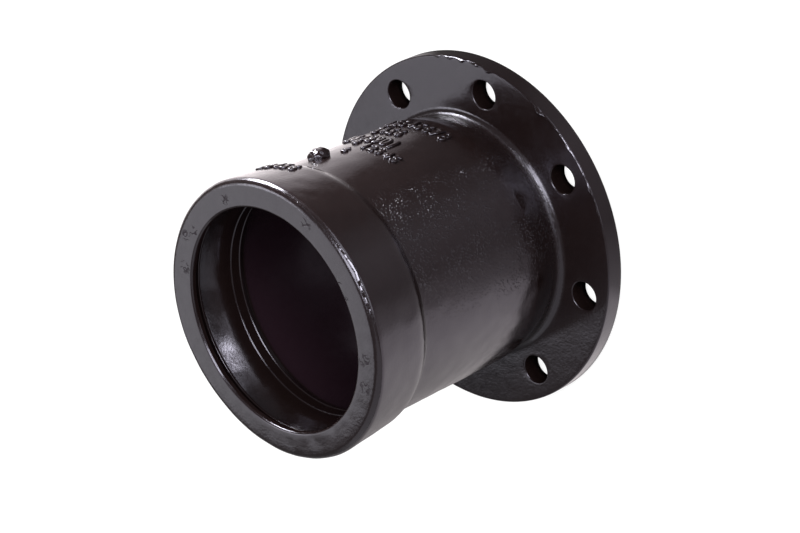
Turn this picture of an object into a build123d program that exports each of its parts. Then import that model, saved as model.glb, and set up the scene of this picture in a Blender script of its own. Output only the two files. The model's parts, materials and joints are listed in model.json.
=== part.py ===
"""Flanged socket: a short iron casting that joins a plain-ended pipe to a bolted flange.

The bolting flange stands on the floor with its machined face down. A straight barrel rises
from it and ends in a slightly thicker socket head. The mouth takes the end of a 170 mm pipe,
and the ring grooves behind the lip are where its rubber gasket would sit.

Frame: the origin is the centre of the flange's mating face, and +Z runs along the bore
towards the mouth. All lengths are millimetres.
"""

import os
from math import cos, radians, sin

from build123d import *

# Pipe that the socket takes
pipe_radius = 85.0

# Gaps and depths, measured outwards from the pipe
lip_clearance = 1.6
groove_depth = 12.5
nose_clearance = 4.2
seat_depth = 13.5
cone_foot_clearance = 5.0
throat_clearance = 4.6
collar_clearance = 3.8
bead_clearance = 3.2
chamber_clearance = 7.0
pipe_stop_ledge = 10.0

# Walls outside those spaces
head_wall = 10.5
barrel_wall = 8.4
neck_waist = 6.1
head_taper = 4.6

# Lengths along the bore, from the flange up
raised_face_height = 3.0
flange_thickness = 19.0
body_length = 210.5
shoulder_lift = 6.0
shoulder_rise = 22.0
neck_height = 31.0

# Lengths along the bore, from the mouth down
head_length = 51.0
head_step_length = 6.2
lip_length = 5.0
groove_flank = 1.2
groove_length = 4.2
nose_length = 1.4
seat_flare = 4.0
seat_length = 3.0
seat_cone = 16.4
throat_length = 8.1
ledge_height = 0.5
collar_length = 7.6
bead_height = 1.2
chamber_lead = 5.0

# Flange and its bolts
bolt_count = 8
bolt_hole_radius = 11.5
bolt_ring_gap = 19.6
raised_face_margin = 3.0
rim_margin = 22.5

# Rounded edges of the casting
rim_back_round = 2.4
rim_front_round = 1.4
flange_fillet = 6.0
neck_blend = 10.0
step_foot_fillet = 2.0
step_top_round = 24.0
mouth_round = 5.5
mouth_inner_round = 2.2
lip_round = 0.8
groove_round = 1.0
nose_round = 0.6
seat_round = 3.0
cone_foot_round = 22.0
ledge_round = 0.3
chamber_round = 2.0
shoulder_fillet = 8.0
bolt_hole_round = 0.8

# Stub left where the iron was fed into the mould
feeder_stub_angle = 91.0
feeder_stub_height = 6.5
feeder_stub_length = 16.0
feeder_stub_width = 15.0
feeder_stub_gap = 21.5
feeder_stub_round = 2.5

# Radii that follow from the pipe
lip_radius = pipe_radius + lip_clearance
groove_radius = pipe_radius + groove_depth
nose_radius = pipe_radius + nose_clearance
seat_radius = pipe_radius + seat_depth
cone_foot_radius = pipe_radius + cone_foot_clearance
throat_radius = pipe_radius + throat_clearance
collar_radius = pipe_radius + collar_clearance
bead_radius = pipe_radius + bead_clearance
chamber_radius = pipe_radius + chamber_clearance
waterway_radius = pipe_radius - pipe_stop_ledge
head_radius = seat_radius + head_wall
head_foot_radius = head_radius - head_taper
barrel_radius = chamber_radius + barrel_wall
neck_radius = barrel_radius - neck_waist
bolt_ring_radius = barrel_radius + bolt_ring_gap
raised_face_radius = bolt_ring_radius - bolt_hole_radius - raised_face_margin
flange_radius = bolt_ring_radius + rim_margin

# Heights above the mating face
mouth_z = flange_thickness + body_length
neck_top_z = flange_thickness + neck_height
step_top_z = mouth_z - head_length
step_foot_z = step_top_z - head_step_length
lip_foot_z = mouth_z - lip_length
groove_foot_z = lip_foot_z - groove_length
nose_foot_z = groove_foot_z - nose_length
seat_top_z = nose_foot_z - seat_flare
seat_foot_z = seat_top_z - seat_length
cone_foot_z = seat_foot_z - seat_cone
throat_foot_z = cone_foot_z - throat_length
collar_top_z = throat_foot_z - ledge_height
collar_foot_z = collar_top_z - collar_length
bead_foot_z = collar_foot_z - bead_height
chamber_top_z = bead_foot_z - chamber_lead
shoulder_foot_z = flange_thickness + shoulder_lift
shoulder_top_z = shoulder_foot_z + shoulder_rise
feeder_stub_z = step_foot_z - feeder_stub_gap

# The cutting shapes run this far past the faces that they open
overrun = 5.0


def half_section(corners):
    """Closed half-section in the XZ plane, from rows of radius, height and corner round."""
    points = [(radius, height) for radius, height, corner in corners]
    rounds = [corner for radius, height, corner in corners]
    with BuildSketch(Plane.XZ) as section:
        with BuildLine():
            FilletPolyline(*points, radius=rounds, close=True)
        make_face()
    return section.sketch


outside = [
    (0, 0, 0),
    (raised_face_radius, 0, 0),
    (raised_face_radius, raised_face_height, 0),
    (flange_radius, raised_face_height, rim_back_round),
    (flange_radius, flange_thickness, rim_front_round),
    (neck_radius, flange_thickness, flange_fillet),
    (barrel_radius, neck_top_z, neck_blend),
    (barrel_radius, step_foot_z, step_foot_fillet),
    (head_foot_radius, step_top_z, step_top_round),
    (head_radius, mouth_z, mouth_round),
    (0, mouth_z, 0),
]

inside = [
    (0, -overrun, 0),
    (waterway_radius, -overrun, 0),
    (waterway_radius, shoulder_foot_z, shoulder_fillet),
    (chamber_radius, shoulder_top_z, shoulder_fillet),
    (chamber_radius, chamber_top_z, chamber_round),
    (bead_radius, bead_foot_z, ledge_round),
    (bead_radius, collar_foot_z - ledge_height, ledge_round),
    (collar_radius, collar_foot_z, ledge_round),
    (collar_radius, collar_top_z, ledge_round),
    (throat_radius, throat_foot_z, ledge_round),
    (cone_foot_radius, cone_foot_z, cone_foot_round),
    (seat_radius, seat_foot_z, seat_round),
    (seat_radius, seat_top_z, seat_round),
    (nose_radius, nose_foot_z, nose_round),
    (nose_radius, groove_foot_z, nose_round),
    (groove_radius, groove_foot_z, groove_round),
    (groove_radius, lip_foot_z - groove_flank, groove_round),
    (lip_radius, lip_foot_z, lip_round),
    (lip_radius, mouth_z + overrun, 0),
    (0, mouth_z + overrun, 0),
]

with BuildPart() as flanged_socket:
    # Outer shape of the casting, turned about the bore
    revolve(half_section(outside), axis=Axis.Z)

    # Feeder stub on top of the barrel, an oval pad that stands a little proud of it
    stub_foot_radius = barrel_radius - barrel_wall / 2
    stub_direction = Vector(cos(radians(feeder_stub_angle)), sin(radians(feeder_stub_angle)), 0)
    stub_origin = stub_direction * stub_foot_radius + Vector(0, 0, feeder_stub_z)
    with BuildSketch(Plane(origin=stub_origin, x_dir=(0, 0, 1), z_dir=stub_direction)):
        Ellipse(feeder_stub_length / 2, feeder_stub_width / 2)
    extrude(amount=barrel_radius + feeder_stub_height - stub_foot_radius)
    stub_top = flanged_socket.faces().sort_by_distance(stub_origin + stub_direction * 2 * barrel_wall)[0]
    fillet(stub_top.edges(), radius=feeder_stub_round)

    # Waterway, chamber, gasket seat and retaining groove
    revolve(half_section(inside), axis=Axis.Z, mode=Mode.SUBTRACT)
    mouth_face = flanged_socket.faces().sort_by(Axis.Z)[-1]
    fillet(mouth_face.inner_wires().edges(), radius=mouth_inner_round)

    # Bolt holes, astride the main axes
    with BuildSketch(Plane.XY):
        with PolarLocations(bolt_ring_radius, bolt_count, start_angle=180 / bolt_count):
            Circle(bolt_hole_radius)
    extrude(amount=flange_thickness, mode=Mode.SUBTRACT)
    flange_front_edges = (
        flanged_socket.edges()
        .filter_by(GeomType.CIRCLE)
        .filter_by_position(Axis.Z, flange_thickness - bolt_hole_round, flange_thickness + bolt_hole_round)
    )
    hole_edges = flange_front_edges.filter_by(lambda edge: edge.radius < neck_radius)
    fillet(hole_edges, radius=bolt_hole_round)

flanged_socket.part.label = "flanged_socket"

os.makedirs("parts", exist_ok=True)
export_step(flanged_socket.part, "parts/flanged_socket.step")
print("volume in litres", round(flanged_socket.part.volume / 1e6, 4))
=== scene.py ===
"""Looks of the flanged socket: a black-coated sand casting on a white studio floor.

The part's frame is kept: +Z runs along the bore from the flange to the mouth, and the flange
stands on the floor. Lengths are metres unless a name says otherwise.
"""

import json
import math

import bmesh
import bpy
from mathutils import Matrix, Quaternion, Vector, noise


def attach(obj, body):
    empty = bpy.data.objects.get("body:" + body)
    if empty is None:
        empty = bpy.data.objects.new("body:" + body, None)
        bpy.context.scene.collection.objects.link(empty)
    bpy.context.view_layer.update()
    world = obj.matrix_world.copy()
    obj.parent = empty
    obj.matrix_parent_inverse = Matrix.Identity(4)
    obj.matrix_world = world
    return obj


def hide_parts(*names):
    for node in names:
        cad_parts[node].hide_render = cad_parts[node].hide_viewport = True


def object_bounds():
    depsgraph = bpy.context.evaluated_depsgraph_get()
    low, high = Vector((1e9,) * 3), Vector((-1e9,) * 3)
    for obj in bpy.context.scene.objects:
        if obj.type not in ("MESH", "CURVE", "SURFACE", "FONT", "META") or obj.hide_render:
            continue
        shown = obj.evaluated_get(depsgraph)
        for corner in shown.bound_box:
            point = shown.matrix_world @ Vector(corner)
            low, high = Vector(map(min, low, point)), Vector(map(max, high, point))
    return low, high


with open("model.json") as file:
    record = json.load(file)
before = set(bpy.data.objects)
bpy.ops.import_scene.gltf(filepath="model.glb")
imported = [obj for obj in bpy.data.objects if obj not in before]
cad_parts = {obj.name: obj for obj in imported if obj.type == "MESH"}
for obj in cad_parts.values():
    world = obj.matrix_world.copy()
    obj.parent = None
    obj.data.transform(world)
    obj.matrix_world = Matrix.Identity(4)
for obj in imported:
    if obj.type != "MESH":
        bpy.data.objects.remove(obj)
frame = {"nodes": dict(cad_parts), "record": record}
cad_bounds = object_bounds()

MM = 0.001
TURN = 2 * math.pi
TURN_DEGREES = 360
HALF_DEGREES = 180

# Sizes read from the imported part
casting_node = frame["nodes"]["flanged_socket"]
mounts = {mount["name"]: mount for mount in frame["record"]["mounts"]}
bolt_count = mounts["flange_bolts"]["dims"]["count"]
bolt_circle = mounts["flange_bolts"]["dims"]["pcd_mm"] / 2 * MM
hole_radius = mounts["flange_bolts"]["dims"]["hole_r_mm"] * MM
mouth_z = cad_bounds[1][2]
flange_radius = cad_bounds[1][0]

# Height of the flange's front face
flange_front = 19.0 * MM

# Fineness of the casting's mesh
sector_steps = 34
ring_steps = sector_steps * bolt_count
outer_step = 3.6 * MM
inner_step = 8.0 * MM
chamber_limit = 93.0 * MM
patch_margin = 1.9 * MM
patch_side_steps = 8
patch_rings = 6
hole_round = 0.8 * MM
hole_round_steps = 3
hole_wall_steps = 3
weld_gap = 0.002 * MM

# Unevenness that the sand mould left; it only goes inwards within edge_zone of the outer sizes
swell_size = 42.0 * MM
swell_depth = 0.40 * MM
ripple_size = 11.0 * MM
ripple_depth = 0.24 * MM
machined_height = 4.0 * MM
edge_zone = 4.0 * MM
flange_calm = 0.35

# The mouth's outer edge is rounded, and fullest at one azimuth in degrees
mouth_round = 5.5 * MM
full_corner_azimuth = 180
full_corner_width = 22
full_corner_power = 5
circle_power = 2


def ring(radius, height):
    """Points of a level circle about the bore."""
    angles = [TURN * number / ring_steps for number in range(ring_steps)]
    return [Vector((radius * math.cos(a), radius * math.sin(a), height)) for a in angles]


def half_section(node):
    """The node's outline where the plane of the bore and +X cuts it, as (radius, height) in order."""
    cut = bmesh.new()
    cut.from_mesh(node.data)
    bmesh.ops.remove_doubles(cut, verts=cut.verts[:], dist=weld_gap)
    everything = cut.verts[:] + cut.edges[:] + cut.faces[:]
    result = bmesh.ops.bisect_plane(
        cut, geom=everything, plane_co=(0, 0, 0), plane_no=(0, 1, 0), dist=weld_gap
    )
    edges = [item for item in result["geom_cut"] if isinstance(item, bmesh.types.BMEdge)]
    neighbours = {}
    for edge in edges:
        first, second = edge.verts
        if first.co.x > 0 and second.co.x > 0:
            neighbours.setdefault(first, []).append(second)
            neighbours.setdefault(second, []).append(first)
    start = max(neighbours, key=lambda vertex: (vertex.co.x, vertex.co.z))
    loop = [start]
    previous, current = start, neighbours[start][0]
    while current is not start:
        loop.append(current)
        ahead = [vertex for vertex in neighbours[current] if vertex is not previous]
        previous, current = current, ahead[0]
    outline = [(vertex.co.x, vertex.co.z) for vertex in loop]
    cut.free()
    return outline


def divided(first, second):
    """Points from first up to but not including second, no further apart than the mesh needs."""
    length = math.dist(first, second)
    inside = max(first[0], second[0]) < chamber_limit
    count = max(1, math.ceil(length / (inner_step if inside else outer_step)))
    shares = [number / count for number in range(count)]
    return [
        (first[0] + (second[0] - first[0]) * share, first[1] + (second[1] - first[1]) * share)
        for share in shares
    ]


def hole_band(height, inner, outer, sector):
    """Border of one sector of the flange's face, and the centre of its bolt hole."""
    middle = TURN * (sector + 0.5) / bolt_count
    half = TURN / bolt_count / 2
    angles = [middle - half + 2 * half * number / sector_steps for number in range(sector_steps + 1)]
    side_numbers = range(patch_side_steps + 1)
    radii = [inner + (outer - inner) * number / patch_side_steps for number in side_numbers]
    corners = [(outer, a) for a in angles]
    corners += [(r, angles[-1]) for r in reversed(radii[1:-1])]
    corners += [(inner, a) for a in reversed(angles)]
    corners += [(r, angles[0]) for r in radii[1:-1]]
    border = [Vector((r * math.cos(a), r * math.sin(a), height)) for r, a in corners]
    centre = Vector((bolt_circle * math.cos(middle), bolt_circle * math.sin(middle), height))
    return border, centre


def hole_rings(front_z, back_z, inner, outer, sector):
    """All rings of one bolt hole: over the front face, down the wall and out over the back face."""
    front_border, front_centre = hole_band(front_z, inner, outer, sector)
    back_border, back_centre = hole_band(back_z, inner, outer, sector)
    spokes = [(point - front_centre).normalized() for point in front_border]
    front_lip = [front_centre + spoke * (hole_radius + hole_round) for spoke in spokes]
    rings = []
    for number in range(patch_rings):
        share = number / patch_rings
        rings.append([a.lerp(b, share) for a, b in zip(front_border, front_lip)])
    for number in range(hole_round_steps + 1):
        turn = math.pi / 2 * number / hole_round_steps
        reach = hole_radius + hole_round * (1 - math.sin(turn))
        drop = Vector((0, 0, -hole_round * (1 - math.cos(turn))))
        rings.append([front_centre + spoke * reach + drop for spoke in spokes])
    top = rings[-1]
    bottom = [back_centre + spoke * hole_radius for spoke in spokes]
    for number in range(1, hole_wall_steps + 1):
        share = number / hole_wall_steps
        rings.append([a.lerp(b, share) for a, b in zip(top, bottom)])
    for number in range(1, patch_rings + 1):
        share = number / patch_rings
        rings.append([a.lerp(b, share) for a, b in zip(bottom, back_border)])
    return rings


def add_band(mesh, rings):
    """Faces between each ring of points and the next."""
    rows = [[mesh.verts.new(point) for point in points] for points in rings]
    for row, other in zip(rows, rows[1:]):
        for number in range(len(row)):
            ahead = (number + 1) % len(row)
            mesh.faces.new((row[number], row[ahead], other[ahead], other[number]))


def crossings(outline, radius):
    """Numbers of the outline's edges that cross a radius, with their heights."""
    found = []
    for number, first in enumerate(outline):
        second = outline[(number + 1) % len(outline)]
        if (first[0] - radius) * (second[0] - radius) < 0:
            found.append((number, first[1]))
    return found


def casting_rings(outline, inner, outer):
    """The outline cut into open runs of points, with a gap where the flange's faces hold the holes."""
    gaps = {number for number, height in crossings(outline, bolt_circle)}
    runs = [[]]
    for number, first in enumerate(outline):
        second = outline[(number + 1) % len(outline)]
        if number not in gaps:
            runs[-1] += divided(first, second)
            continue
        near, far = (inner, outer) if first[0] < second[0] else (outer, inner)
        runs[-1] += divided(first, (near, first[1])) + [(near, first[1])]
        runs.append(divided((far, first[1]), second))
    runs[0] = runs.pop() + runs[0]
    return runs


def sand_offset(place):
    """How far the sand-cast skin stands out from its nominal surface at a place."""
    offset = noise.noise(place / swell_size) * swell_depth
    offset += noise.noise(place / ripple_size) * ripple_depth
    above_face = (place.z - machined_height) / machined_height
    offset *= min(1, max(0, above_face))
    above_flange = (place.z - flange_front) / edge_zone
    offset *= flange_calm + (1 - flange_calm) * min(1, max(0, above_flange))
    if offset > 0:
        to_rim = (flange_radius - math.hypot(place.x, place.y)) / edge_zone
        to_mouth = (mouth_z - place.z) / edge_zone
        offset *= min(1, max(0, to_rim), max(0, to_mouth))
    return offset


def corner_fill(place, outline):
    """How the mouth's outer edge, round elsewhere, fills out to a fuller corner near one azimuth."""
    centre_height = mouth_z - mouth_round
    centre_radius = wall_radius(outline, centre_height) - mouth_round
    out = math.hypot(place.x, place.y) - centre_radius
    up = place.z - centre_height
    if out <= 0 or up <= 0:
        return Vector()
    azimuth = math.degrees(math.atan2(place.y, place.x))
    away = (azimuth - full_corner_azimuth + HALF_DEGREES) % TURN_DEGREES - HALF_DEGREES
    power = circle_power + full_corner_power * math.exp(-((away / full_corner_width) ** 2))
    reach = math.hypot(out, up)
    fuller = ((out / reach) ** power + (up / reach) ** power) ** (-1 / power)
    outwards = Vector((place.x, place.y, 0)).normalized()
    return (outwards * out + Vector((0, 0, up))) * (fuller - 1)


def make_casting(outline):
    """One closed mesh: the turned outline with eight bolt holes worked into the flange."""
    inner = bolt_circle - hole_radius - patch_margin
    outer = bolt_circle + hole_radius + patch_margin
    heights = [height for number, height in crossings(outline, bolt_circle)]
    front_z, back_z = max(heights), min(heights)
    mesh = bmesh.new()
    for run in casting_rings(outline, inner, outer):
        add_band(mesh, [ring(radius, height) for radius, height in run])
    for sector in range(bolt_count):
        add_band(mesh, hole_rings(front_z, back_z, inner, outer, sector))
    bmesh.ops.remove_doubles(mesh, verts=mesh.verts[:], dist=weld_gap)
    bmesh.ops.recalc_face_normals(mesh, faces=mesh.faces[:])
    mesh.normal_update()
    moves = []
    for vertex in mesh.verts:
        moves.append(vertex.normal * sand_offset(vertex.co) + corner_fill(vertex.co, outline))
    for vertex, move in zip(mesh.verts, moves):
        vertex.co += move
    return piece_from(mesh, "casting")


def wall_radius(outline, height):
    """Outer radius of the casting at a height."""
    found = []
    for number, first in enumerate(outline):
        second = outline[(number + 1) % len(outline)]
        if (first[1] - height) * (second[1] - height) <= 0 and first[1] != second[1]:
            share = (height - first[1]) / (second[1] - first[1])
            found.append(first[0] + (second[0] - first[0]) * share)
    return max(found)


def spot(radius, azimuth, height):
    """The point at a radius, an azimuth in degrees and a height."""
    turn = math.radians(azimuth)
    return Vector((radius * math.cos(turn), radius * math.sin(turn), height))


def piece_from(mesh, name):
    """An object in the scene from a bmesh, smooth all over."""
    for face in mesh.faces:
        face.smooth = True
    data = bpy.data.meshes.new(name)
    mesh.to_mesh(data)
    mesh.free()
    piece = bpy.data.objects.new(name, data)
    bpy.context.scene.collection.objects.link(piece)
    return piece


# Raised figures: text, height of its top, size, azimuth of its first figure, and pitch in degrees
figure_rows = [
    ("12345678", 58 * MM, 13 * MM, 97, 4.6),
    ("3456", 77 * MM, 13 * MM, 94, 4.6),
    ("5678901", 97 * MM, 14 * MM, 99, 4.3),
    ("12345", 114 * MM, 10 * MM, 81, 4.3),
    ("8", 109 * MM, 8 * MM, 90, 4.3),
    ("6", 127 * MM, 9 * MM, 86, 4.3),
    ("23456", 184 * MM, 12 * MM, 100, 4.5),
]
figure_width = 6.2 * MM
figure_relief = 1.7 * MM
figure_foot = 0.6 * MM
figure_tremble = 0.22 * MM
tremble_size = 2.5 * MM

# Keeps the tremble of the figures the same in every run
tremble_seed = 1

# The font's own size: width and height of most figures, and the thickness and edge given to them
font_width = 0.50
font_height = 0.76
font_top = 0.73
font_edge = 0.045
font_depth = 0.12
font_curve_steps = 4
font_edge_steps = 1


def figure_data(figure):
    """Mesh of one figure lying flat, as thick as font_depth and with a soft edge."""
    curve = bpy.data.curves.new("figure", "FONT")
    curve.body = figure
    curve.align_x = "CENTER"
    curve.resolution_u = font_curve_steps
    curve.bevel_depth = font_edge
    curve.bevel_resolution = font_edge_steps
    curve.extrude = font_depth / 2 - font_edge
    text = bpy.data.objects.new("figure", curve)
    return bpy.data.meshes.new_from_object(text)


def make_figures(outline):
    """Rows of plain raised figures round the wall, with their tops towards the flange."""
    noise.seed_set(tremble_seed)
    whole = bmesh.new()
    for text, top, size, azimuth, pitch in figure_rows:
        for place, figure in enumerate(text):
            done = len(whole.verts)
            whole.from_mesh(figure_data(figure))
            whole.verts.ensure_lookup_table()
            for vertex in whole.verts[done:]:
                height = top + (font_top - vertex.co.y) * size / font_height
                out = (vertex.co.z / font_depth + 0.5) * (figure_relief + figure_foot) - figure_foot
                radius = wall_radius(outline, height) + out
                along = math.degrees(vertex.co.x * figure_width / font_width / radius)
                point = spot(radius, azimuth - place * pitch - along, height)
                tremble = noise.noise_vector(point / tremble_size) * figure_tremble
                vertex.co = point + tremble
    bmesh.ops.remove_doubles(whole, verts=whole.verts[:], dist=weld_gap)
    return piece_from(whole, "raised_figures")


# Stump of the feeder
stub_azimuth = 91
stub_height = 150.8 * MM
stub_half = Vector((8.0, 7.5, 7.0)) * MM
stub_squareness = 2.6
stub_grain = 3.0 * MM
stub_roughness = 1.4 * MM
stub_fineness = 4


def make_stub(outline):
    """Rough stump where the feeder was knocked off the casting."""
    mesh = bmesh.new()
    bmesh.ops.create_icosphere(mesh, subdivisions=stub_fineness, radius=1)
    out = spot(1, stub_azimuth, 0)
    up = Vector((0, 0, 1))
    middle = spot(wall_radius(outline, stub_height), stub_azimuth, stub_height)
    for vertex in mesh.verts:
        way = vertex.co.copy()
        reach = sum(abs(part) ** stub_squareness for part in way) ** (-1 / stub_squareness)
        rough = noise.noise(way * stub_half.x / stub_grain) * stub_roughness
        local = Vector(part * half for part, half in zip(way, stub_half)) * reach + way * rough
        vertex.co = middle + up * local.x + up.cross(out) * local.y + out * local.z
    return piece_from(mesh, "feeder_stump")


# Flash along the mouth's outer edge: azimuth, how far round the edge (both in degrees) and
# half thickness
mouth_flash_path = [
    (3, 34, 0.3 * MM),
    (5, 33, 0.5 * MM),
    (7, 36, 1.3 * MM),
    (9.5, 38, 0.6 * MM),
    (11, 41, 1.4 * MM),
    (14, 44, 0.7 * MM),
    (15.5, 45, 1.5 * MM),
    (18.5, 43, 0.8 * MM),
    (20, 38, 1.5 * MM),
    (23.5, 28, 1.2 * MM),
    (27, 31, 1.4 * MM),
    (30, 36, 1.0 * MM),
    (34, 42, 0.6 * MM),
    (47, 42, 0.4 * MM),
    (60, 42, 0.25 * MM),
]

# Section and waviness of all flash, with angles in degrees
flash_step = 0.5
flash_sides = 24
flash_squareness = 6
mouth_flash_tilt = 34
rim_flash_tilt = 40
rim_flash_turn = 60
flash_wave = 3.0
flash_sway = 5.0
flash_wobble = 0.35 * MM
flash_headroom = 1.28

# Flash along the flange's front edge, with blobs: azimuth and extra half thickness of each
rim_flash_span = (3, 92)
rim_flash_size = 0.6 * MM
rim_flash_tip = 0.15
rim_flash_rise = 0.5
rim_flash_blobs = [
    (8.5, 0.6 * MM),
    (15.8, 0.6 * MM),
    (30, 0.6 * MM),
    (44.2, 1.6 * MM),
    (67, 1.0 * MM),
    (72, 0.7 * MM),
    (78, 1.0 * MM),
    (83, 0.8 * MM),
    (88, 0.6 * MM),
]
rim_blob_width = 1.5
rim_flash_drop = 0.3 * MM


def ridge_corner(turn, tilt):
    """Point of a ridge's section, a soft square with one flat side that faces out and up."""
    across, away = math.cos(turn), math.sin(turn)
    reach = (abs(across) ** flash_squareness + abs(away) ** flash_squareness) ** (-1 / flash_squareness)
    lean = math.radians(tilt)
    out = across * math.cos(lean) - away * math.sin(lean)
    up = across * math.sin(lean) + away * math.cos(lean)
    return out * reach, up * reach


def make_ridge(name, stops):
    """Thin closed ridge through stops, each a radius, azimuth, height, half thickness and tilt."""
    mesh = bmesh.new()
    rows = []
    for radius, azimuth, height, size, tilt in stops:
        row = []
        for side in range(flash_sides):
            out, up = ridge_corner(TURN * side / flash_sides, tilt)
            row.append(mesh.verts.new(spot(radius + size * out, azimuth, height + size * up)))
        rows.append(row)
    for row, other in zip(rows, rows[1:]):
        for side in range(flash_sides):
            ahead = (side + 1) % flash_sides
            mesh.faces.new((row[side], row[ahead], other[ahead], other[side]))
    mesh.faces.new(reversed(rows[0]))
    mesh.faces.new(rows[-1])
    bmesh.ops.recalc_face_normals(mesh, faces=mesh.faces[:])
    return piece_from(mesh, name)


def between(path, azimuth):
    """Angle and half thickness of the mouth's flash at an azimuth."""
    for (first, *low), (second, *high) in zip(path, path[1:]):
        if azimuth <= second:
            break
    share = (azimuth - first) / (second - first)
    return [start + (end - start) * share for start, end in zip(low, high)]


def flash_azimuths(first, last):
    """Azimuths from first to last in small steps."""
    count = round((last - first) / flash_step)
    return [first + flash_step * number for number in range(count + 1)]


def make_mouth_flash(outline):
    """Wavy ridge of flash that wanders along the mouth's rounded outer edge."""
    centre_height = mouth_z - mouth_round
    centre_radius = wall_radius(outline, centre_height) - mouth_round
    stops = []
    for azimuth in flash_azimuths(mouth_flash_path[0][0], mouth_flash_path[-1][0]):
        wave = noise.noise(Vector((azimuth / flash_wave, 0, 0)))
        angle, size = between(mouth_flash_path, azimuth)
        turn = math.radians(angle + flash_sway * wave)
        size += flash_wobble * abs(wave)
        radius = centre_radius + mouth_round * math.cos(turn)
        height = centre_height + mouth_round * math.sin(turn)
        height = min(height, mouth_z - flash_headroom * size)
        stops.append((radius, azimuth, height, size, mouth_flash_tilt))
    return make_ridge("mouth_flash", stops)


def blob_at(azimuth):
    """Extra half thickness that the blobs give the rim's flash at an azimuth."""
    parts = [
        extra * math.exp(-(((azimuth - middle) / rim_blob_width) ** 2))
        for middle, extra in rim_flash_blobs
    ]
    return sum(parts)


def make_rim_flash():
    """Fine ridge of flash with a few blobs along the flange's front edge."""
    first, last = rim_flash_span
    stops = []
    for azimuth in flash_azimuths(first, last):
        wave = noise.noise(Vector((0, azimuth / flash_wave, 0)))
        swell = math.sin(math.pi * (azimuth - first) / (last - first)) ** rim_flash_rise
        size = rim_flash_size * (rim_flash_tip + (1 - rim_flash_tip) * swell) + blob_at(azimuth)
        radius = flange_radius - flash_headroom * size
        height = flange_front + rim_flash_drop * (wave - 1)
        stops.append((radius, azimuth, height, size, rim_flash_tilt + rim_flash_turn * wave))
    return make_ridge("rim_flash", stops)


def new_material(name):
    """A node material and its node tree."""
    material = bpy.data.materials.new(name)
    material.use_nodes = True
    return material, material.node_tree


def add_node(tree, kind, **settings):
    """A node of that kind with its attributes set."""
    node = tree.nodes.new(kind)
    for name, value in settings.items():
        setattr(node, name, value)
    return node


def noise_node(tree, place, scale, detail):
    """A noise texture read at the object's own coordinates."""
    node = add_node(tree, "ShaderNodeTexNoise")
    node.inputs["Scale"].default_value = scale
    node.inputs["Detail"].default_value = detail
    tree.links.new(place, node.inputs["Vector"])
    return node.outputs["Fac"]


def bump_node(tree, height, depth, below=None):
    """A bump of that depth, laid over the bump below it."""
    node = add_node(tree, "ShaderNodeBump")
    node.inputs["Strength"].default_value = 1.0
    node.inputs["Distance"].default_value = depth
    tree.links.new(height, node.inputs["Height"])
    if below is not None:
        tree.links.new(below, node.inputs["Normal"])
    return node.outputs["Normal"]


def spread(tree, value, low, high, start=0.0, end=1.0):
    """Value mapped from low and high onto start and end."""
    node = add_node(tree, "ShaderNodeMapRange")
    node.inputs["From Min"].default_value = low
    node.inputs["From Max"].default_value = high
    node.inputs["To Min"].default_value = start
    node.inputs["To Max"].default_value = end
    tree.links.new(value, node.inputs["Value"])
    return node.outputs["Result"]


# Pits on the mouth's face: azimuth, radius and reach of each patch of scribbled lines
pit_patches = [
    (-27, 97 * MM, 6 * MM),
    (-14, 95 * MM, 6 * MM),
    (15, 89.5 * MM, 2 * MM),
    (23, 89.5 * MM, 2.5 * MM),
    (52, 98 * MM, 6 * MM),
    (104, 95 * MM, 5 * MM),
    (136, 93 * MM, 6 * MM),
    (141, 99 * MM, 5 * MM),
    (157, 94 * MM, 6 * MM),
]
scribble_scale = 170
scribble_detail = 1
scribble_low = (0.44, 0.49)
scribble_high = (0.51, 0.56)

# Depths of the bumps in the coating
pit_depth = 0.15 * MM
grain_depth = 0.1 * MM
pimple_depth = 0.50 * MM

# Round grains of sand burnt on in patches, on the side of the barrel at one azimuth
pimple_scale = 620
pimple_reach = 0.42
sandy_azimuth = 20
sandy_edge = (82 * MM, 93 * MM)
patch_scale = 45
patch_detail = 2
patch_range = (0.32, 0.50)

# Fine grain of the outside
grain_scale = 500
grain_detail = 2

# Heights between which something of the coating comes in, from the first to the second
neck_edge = (36 * MM, 29 * MM)
flange_edge = (20.5 * MM, 22 * MM)
ring_edge = (34 * MM, 27 * MM)
head_edge = (174 * MM, 170 * MM)

# Distances from the bore's axis between which it comes in
skin_edge = (87 * MM, 99 * MM)
# Painted light inside the bore comes in between these distances
painted_bore_light_edge = (94 * MM, 93 * MM)

# Roughness of the coating: least and greatest, how it varies, and what the neck's foot adds
coating_sheen = (0.15, 0.24)
thick_sheen = (0.08, 0.14)
gloss_scale = 180
gloss_detail = 3
gloss_range = (0.3, 0.7)
ring_roughness = 0.10

# Colours of the coating, and how far its blotches go from the dark one to the light one
coating_index = 1.6
coating_tint = (0.86, 0.84, 1.0, 1)
dark_colour = (0.006, 0.0032, 0.003, 1)
light_colour = (0.009, 0.0052, 0.005, 1)
# Painted light: a lighter colour inside the bore, below the head, standing in for light that falls in
painted_bore_light_colour = (0.016, 0.008, 0.012, 1)
blotch_scale = 60
blotch_detail = 4
blotch_share = 0.5


def near_patches(tree, place):
    """1 inside the patches of pits on the mouth's face, and 0 away from them."""
    total = None
    for azimuth, radius, reach in pit_patches:
        away = add_node(tree, "ShaderNodeVectorMath", operation="DISTANCE")
        tree.links.new(place, away.inputs[0])
        away.inputs[1].default_value = spot(radius, azimuth, mouth_z)
        inside = spread(tree, away.outputs["Value"], reach / 2, reach, 1, 0)
        total = inside if total is None else greater(tree, total, inside)
    return total


def times(tree, first, second):
    """Product of two values."""
    node = add_node(tree, "ShaderNodeMath", operation="MULTIPLY")
    tree.links.new(first, node.inputs[0])
    tree.links.new(second, node.inputs[1])
    return node.outputs["Value"]


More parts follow.
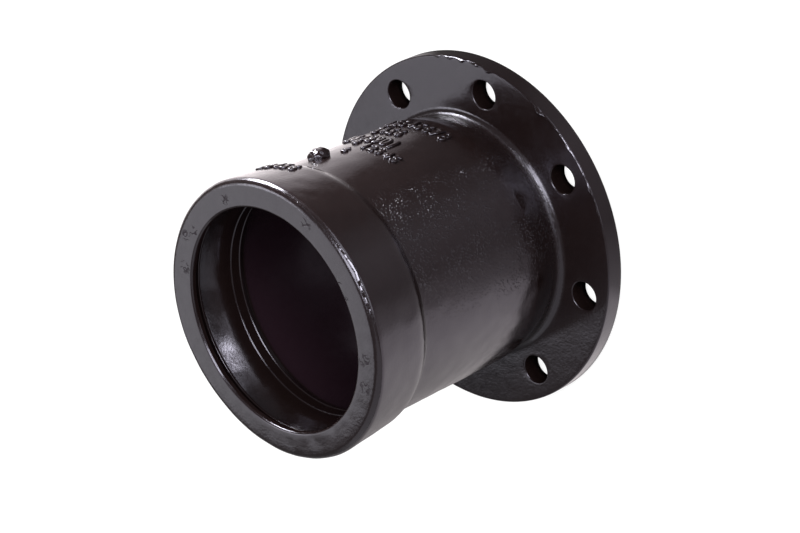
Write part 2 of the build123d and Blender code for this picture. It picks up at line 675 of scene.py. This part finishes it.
def plus(tree, first, second):
    """Sum of two values, no more than 1."""
    node = add_node(tree, "ShaderNodeMath", operation="ADD", use_clamp=True)
    tree.links.new(first, node.inputs[0])
    tree.links.new(second, node.inputs[1])
    return node.outputs["Value"]


def greater(tree, first, second):
    """The greater of two values."""
    node = add_node(tree, "ShaderNodeMath", operation="MAXIMUM")
    tree.links.new(first, node.inputs[0])
    tree.links.new(second, node.inputs[1])
    return node.outputs["Value"]


def from_bore(tree, place):
    """Distance from the bore's axis."""
    flat = add_node(tree, "ShaderNodeVectorMath", operation="MULTIPLY")
    tree.links.new(place, flat.inputs[0])
    flat.inputs[1].default_value = (1, 1, 0)
    length = add_node(tree, "ShaderNodeVectorMath", operation="LENGTH")
    tree.links.new(flat.outputs["Vector"], length.inputs[0])
    return length.outputs["Value"]


def reach_towards(tree, place, direction):
    """How far a place lies along a direction."""
    node = add_node(tree, "ShaderNodeVectorMath", operation="DOT_PRODUCT")
    tree.links.new(place, node.inputs[0])
    node.inputs[1].default_value = direction
    return node.outputs["Value"]


def pimples(tree, place):
    """Small round grains of sand that burnt on."""
    cells = add_node(tree, "ShaderNodeTexVoronoi")
    cells.inputs["Scale"].default_value = pimple_scale
    tree.links.new(place, cells.inputs["Vector"])
    dome = spread(tree, cells.outputs["Distance"], 0, pimple_reach, 1, 0)
    dome.node.interpolation_type = "SMOOTHSTEP"
    return dome


def scribble(tree, place):
    """Thin lines where a noise crosses its middle value, like the marks of worms."""
    field = noise_node(tree, place, scribble_scale, scribble_detail)
    up_side = spread(tree, field, *scribble_low)
    down_side = spread(tree, field, *scribble_high, 1, 0)
    return times(tree, up_side, down_side)


def coating_colour(tree, place, below_head):
    """Faintly brown black with blotches, and painted light inside the bore below the head: a lighter
    colour that stands in for light falling in.
    """
    tone = add_node(tree, "ShaderNodeValToRGB")
    ramp = tone.color_ramp
    ramp.elements[0].color = dark_colour
    # The ramp's end is the painted light for the inside of the bore
    ramp.elements[1].color = painted_bore_light_colour
    ramp.elements.new(blotch_share).color = light_colour
    cloud = noise_node(tree, place, blotch_scale, blotch_detail)
    blotches = spread(tree, cloud, 0, 1, 0, blotch_share)
    # Painted light: the bore below the head is coloured lighter, standing in for light that falls in
    painted_bore_light = times(tree, spread(tree, from_bore(tree, place), *painted_bore_light_edge), below_head)
    tree.links.new(greater(tree, blotches, painted_bore_light), tone.inputs["Fac"])
    return tone.outputs["Color"]


def coating_roughness(tree, place, height, lines, sheen):
    """Uneven gloss between two roughnesses, duller at the neck's foot and in the pits."""
    cloud = noise_node(tree, place, gloss_scale, gloss_detail)
    gloss = spread(tree, cloud, *gloss_range, *sheen)
    ring_share = spread(tree, height, *ring_edge, 0, ring_roughness)
    foot_ring = times(tree, ring_share, spread(tree, height, *flange_edge))
    return plus(tree, plus(tree, gloss, foot_ring), lines)


def sandy_places(tree, place, height, below_head):
    """How much sand is burnt on: patches on one side of the barrel, and all of its neck there."""
    cloud = noise_node(tree, place, patch_scale, patch_detail)
    patches = spread(tree, cloud, *patch_range)
    patchy = greater(tree, patches, spread(tree, height, *neck_edge))
    side = spread(tree, reach_towards(tree, place, spot(1, sandy_azimuth, 0)), *sandy_edge)
    barrel_only = times(tree, below_head, spread(tree, height, *flange_edge))
    return times(tree, times(tree, patchy, side), barrel_only)


def coating_relief(tree, place, lines, sandy):
    """Pits, grains of sand and a fine grain, as bumps laid over each other."""
    outside = spread(tree, from_bore(tree, place), *skin_edge)
    grain = noise_node(tree, place, grain_scale, grain_detail)
    pits = bump_node(tree, lines, -pit_depth)
    sand = bump_node(tree, times(tree, pimples(tree, place), sandy), pimple_depth, pits)
    return bump_node(tree, times(tree, grain, outside), grain_depth, sand)


def black_coating(name, sheen):
    """Black bitumen paint over sand-cast iron, with its least and greatest roughness."""
    material, tree = new_material(name)
    shader = tree.nodes["Principled BSDF"]
    shader.inputs["IOR"].default_value = coating_index
    shader.inputs["Specular Tint"].default_value = coating_tint
    place = add_node(tree, "ShaderNodeTexCoord").outputs["Object"]
    height = reach_towards(tree, place, (0, 0, 1))
    below_head = spread(tree, height, *head_edge)
    lines = times(tree, scribble(tree, place), near_patches(tree, place))
    sandy = sandy_places(tree, place, height, below_head)
    tree.links.new(coating_colour(tree, place, below_head), shader.inputs["Base Color"])
    roughness = coating_roughness(tree, place, height, lines, sheen)
    tree.links.new(roughness, shader.inputs["Roughness"])
    tree.links.new(coating_relief(tree, place, lines, sandy), shader.inputs["Normal"])
    return material


# Camera, fitted to the photograph's outlines of flange, bolt holes, barrel and mouth
camera_place = Vector((1.34965, 0.49068, 1.31753))
camera_aim = Vector((0.00094, -0.00258, 0.09644))
camera_roll = math.radians(-114.85)
camera_lens = 111.59
camera_reach = 50


def make_camera():
    """The photograph's camera, rolled as it is when the part stands on its flange."""
    data = bpy.data.cameras.new("camera")
    data.lens = camera_lens
    data.clip_end = camera_reach
    camera = bpy.data.objects.new("camera", data)
    level = (camera_aim - camera_place).to_track_quat("-Z", "Y")
    camera.rotation_mode = "QUATERNION"
    camera.rotation_quaternion = level @ Quaternion((0, 0, 1), camera_roll)
    camera.location = camera_place
    bpy.context.scene.collection.objects.link(camera)
    bpy.context.scene.camera = camera


# Floor, card and light from all round
floor_radius = 6.0
card_radius = 2.5
card_lift = 0.3 * MM
shade_radius = 0.1425
shade_edge = 3 * MM
sheet_sides = 96
world_strength = 0.17
floor_glow = 0.86
floor_colour = (0.30, 0.30, 0.30, 1)
floor_roughness = 0.9
white = (1, 1, 1, 1)

# Soft lamps: name, azimuth and rise in degrees, distance, width, height, brightness of the panel
# and the angle in degrees over which it spreads its light
open_spread = 180
soft_lamps = [
    ("wall_lamp", 180, 54, 1.40, 1.00, 1.00, 1.38, open_spread),
    ("back_lamp", 163, 52, 1.50, 0.50, 0.40, 4.2, open_spread),
    ("top_lamp", 121, 18, 0.66, 0.40, 0.28, 4.4, 34),
    ("front_lamp", 28, 10, 2.40, 3.20, 0.80, 2.3, open_spread),
    ("seat_lamp", 32, 33, 1.50, 0.62, 0.28, 21.0, open_spread),
    ("strip_lamp", 36, 62, 1.50, 0.50, 0.95, 10.0, open_spread),
    ("side_lamp", -70, 35, 1.50, 2.60, 1.40, 0.45, open_spread),
]


def disc(name, radius, height):
    """A flat round sheet about the bore."""
    mesh = bmesh.new()
    bmesh.ops.create_circle(mesh, cap_ends=True, segments=sheet_sides, radius=radius)
    data = bpy.data.meshes.new(name)
    mesh.to_mesh(data)
    mesh.free()
    sheet = bpy.data.objects.new(name, data)
    sheet.location.z = height
    bpy.context.scene.collection.objects.link(sheet)
    return sheet


def floor_finish():
    """Pale floor that the camera sees as white, with the object's soft shadow left on it."""
    material, tree = new_material("floor")
    shader = tree.nodes["Principled BSDF"]
    shader.inputs["Base Color"].default_value = floor_colour
    shader.inputs["Roughness"].default_value = floor_roughness
    shader.inputs["Specular IOR Level"].default_value = 0.0
    shader.inputs["Emission Color"].default_value = white
    path = add_node(tree, "ShaderNodeLightPath")
    camera_or_gloss = greater(tree, path.outputs["Is Camera Ray"], path.outputs["Is Glossy Ray"])
    any_seen = greater(tree, camera_or_gloss, path.outputs["Is Transmission Ray"])
    glow = spread(tree, any_seen, 0, 1, 0, floor_glow)
    tree.links.new(glow, shader.inputs["Emission Strength"])
    return material


# How bright the card glows at azimuths about the bore, in degrees: a painted reflection, seen only in
# the gloss
card_tones = [
    (-180, 0.90),
    (-150, 0.25),
    (-132, 0.32),
    (-92, 0.66),
    (-48, 1.45),
    (-24, 1.30),
    (-18, 0.66),
    (4, 0.27),
    (32, 0.40),
    (60, 0.12),
    (95, 0.12),
    (106, 0.70),
    (124, 1.45),
    (150, 2.00),
    (166, 1.90),
    (180, 0.90),
]
card_brightest = 2.00
card_tint = (1.0, 0.93, 0.94)

# The card is dark under the flange, and glows dimly where it shows through the bore: painted light in
# the bore's reflections
bore_radius = 75 * MM
bore_tone = 0.25


def tones_round(tree, place):
    """The card's tone at each azimuth about the bore, as a share of the brightest."""
    sweep = add_node(tree, "ShaderNodeTexGradient", gradient_type="RADIAL")
    tree.links.new(place, sweep.inputs["Vector"])
    tones = add_node(tree, "ShaderNodeValToRGB")
    ramp = tones.color_ramp
    for azimuth, tone in card_tones:
        share = (azimuth + HALF_DEGREES) / TURN_DEGREES
        level = tone / card_brightest
        if azimuth == -HALF_DEGREES:
            stop = ramp.elements[0]
        elif azimuth == HALF_DEGREES:
            stop = ramp.elements[-1]
        else:
            stop = ramp.elements.new(share)
        stop.position = share
        stop.color = [level * part for part in card_tint] + [1]
    tree.links.new(sweep.outputs["Color"], tones.inputs["Fac"])
    return tones.outputs["Color"]


def card_finish():
    """A glow seen only in the gloss, painting its reflections low down round the object: a bright
    sweep, a dark room and a lit wall.
    """
    material, tree = new_material("painted_reflection_card")
    tree.nodes.remove(tree.nodes["Principled BSDF"])
    glow = add_node(tree, "ShaderNodeEmission")
    place = add_node(tree, "ShaderNodeTexCoord").outputs["Object"]
    reach = add_node(tree, "ShaderNodeVectorMath", operation="LENGTH")
    tree.links.new(place, reach.inputs[0])
    away = reach.outputs["Value"]
    open_floor = spread(tree, away, shade_radius, shade_radius + shade_edge, 0, card_brightest)
    # Painted light: a dim glow that the bore's inside reflects
    in_bore = spread(tree, away, bore_radius - shade_edge, bore_radius, bore_tone, 0)
    strength = add_node(tree, "ShaderNodeMath", operation="ADD")
    tree.links.new(open_floor, strength.inputs[0])
    tree.links.new(in_bore, strength.inputs[1])
    tree.links.new(tones_round(tree, place), glow.inputs["Color"])
    tree.links.new(strength.outputs["Value"], glow.inputs["Strength"])
    tree.links.new(glow.outputs["Emission"], tree.nodes["Material Output"].inputs["Surface"])
    return material


def only_in_gloss(sheet):
    """Hides a studio card from everything but reflections."""
    sheet.visible_camera = False
    sheet.visible_diffuse = False
    sheet.visible_shadow = False
    sheet.visible_transmission = False


def make_lamp(name, azimuth, rise, distance, width, height, brightness, spread_angle):
    """Soft panel aimed at the origin, or at the mouth's centre where its light is narrowed."""
    data = bpy.data.lights.new(name, "AREA")
    data.shape = "RECTANGLE"
    data.size = width
    data.size_y = height
    data.energy = brightness * math.pi * width * height
    data.spread = math.radians(spread_angle)
    lamp = bpy.data.objects.new(name, data)
    turn, climb = math.radians(azimuth), math.radians(rise)
    level = math.cos(climb)
    direction = Vector((level * math.cos(turn), level * math.sin(turn), math.sin(climb)))
    lamp.location = direction * distance
    aim = Vector((0, 0, mouth_z if spread_angle < open_spread else 0))
    lamp.rotation_mode = "QUATERNION"
    lamp.rotation_quaternion = (lamp.location - aim).to_track_quat("Z", "Y")
    lamp.visible_camera = False
    bpy.context.scene.collection.objects.link(lamp)


def make_world():
    """Plain soft light from all round."""
    world = bpy.data.worlds.new("studio")
    world.use_nodes = True
    background = world.node_tree.nodes["Background"]
    background.inputs["Color"].default_value = white
    background.inputs["Strength"].default_value = world_strength
    bpy.context.scene.world = world


def make_studio():
    """Floor, card, lamps and world."""
    floor = disc("floor", floor_radius, 0)
    floor.data.materials.append(floor_finish())
    # A glowing card seen only in reflections: painted reflections of the studio round the object
    card = disc("painted_reflection_card", card_radius, card_lift)
    card.data.materials.append(card_finish())
    only_in_gloss(card)
    for settings in soft_lamps:
        make_lamp(*settings)
    make_world()


make_camera()
make_studio()
coating = black_coating("black_coating", coating_sheen)
thick_coating = black_coating("thick_coating", thick_sheen)
outline = half_section(casting_node)
casting = make_casting(outline)
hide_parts("flanged_socket")
details = [make_figures(outline), make_stub(outline), make_mouth_flash(outline), make_rim_flash()]
for piece in [casting, *details]:
    piece.data.materials.append(coating if piece is casting else thick_coating)
    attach(piece, "root")

scene = bpy.context.scene
scene.view_settings.view_transform = "Standard"
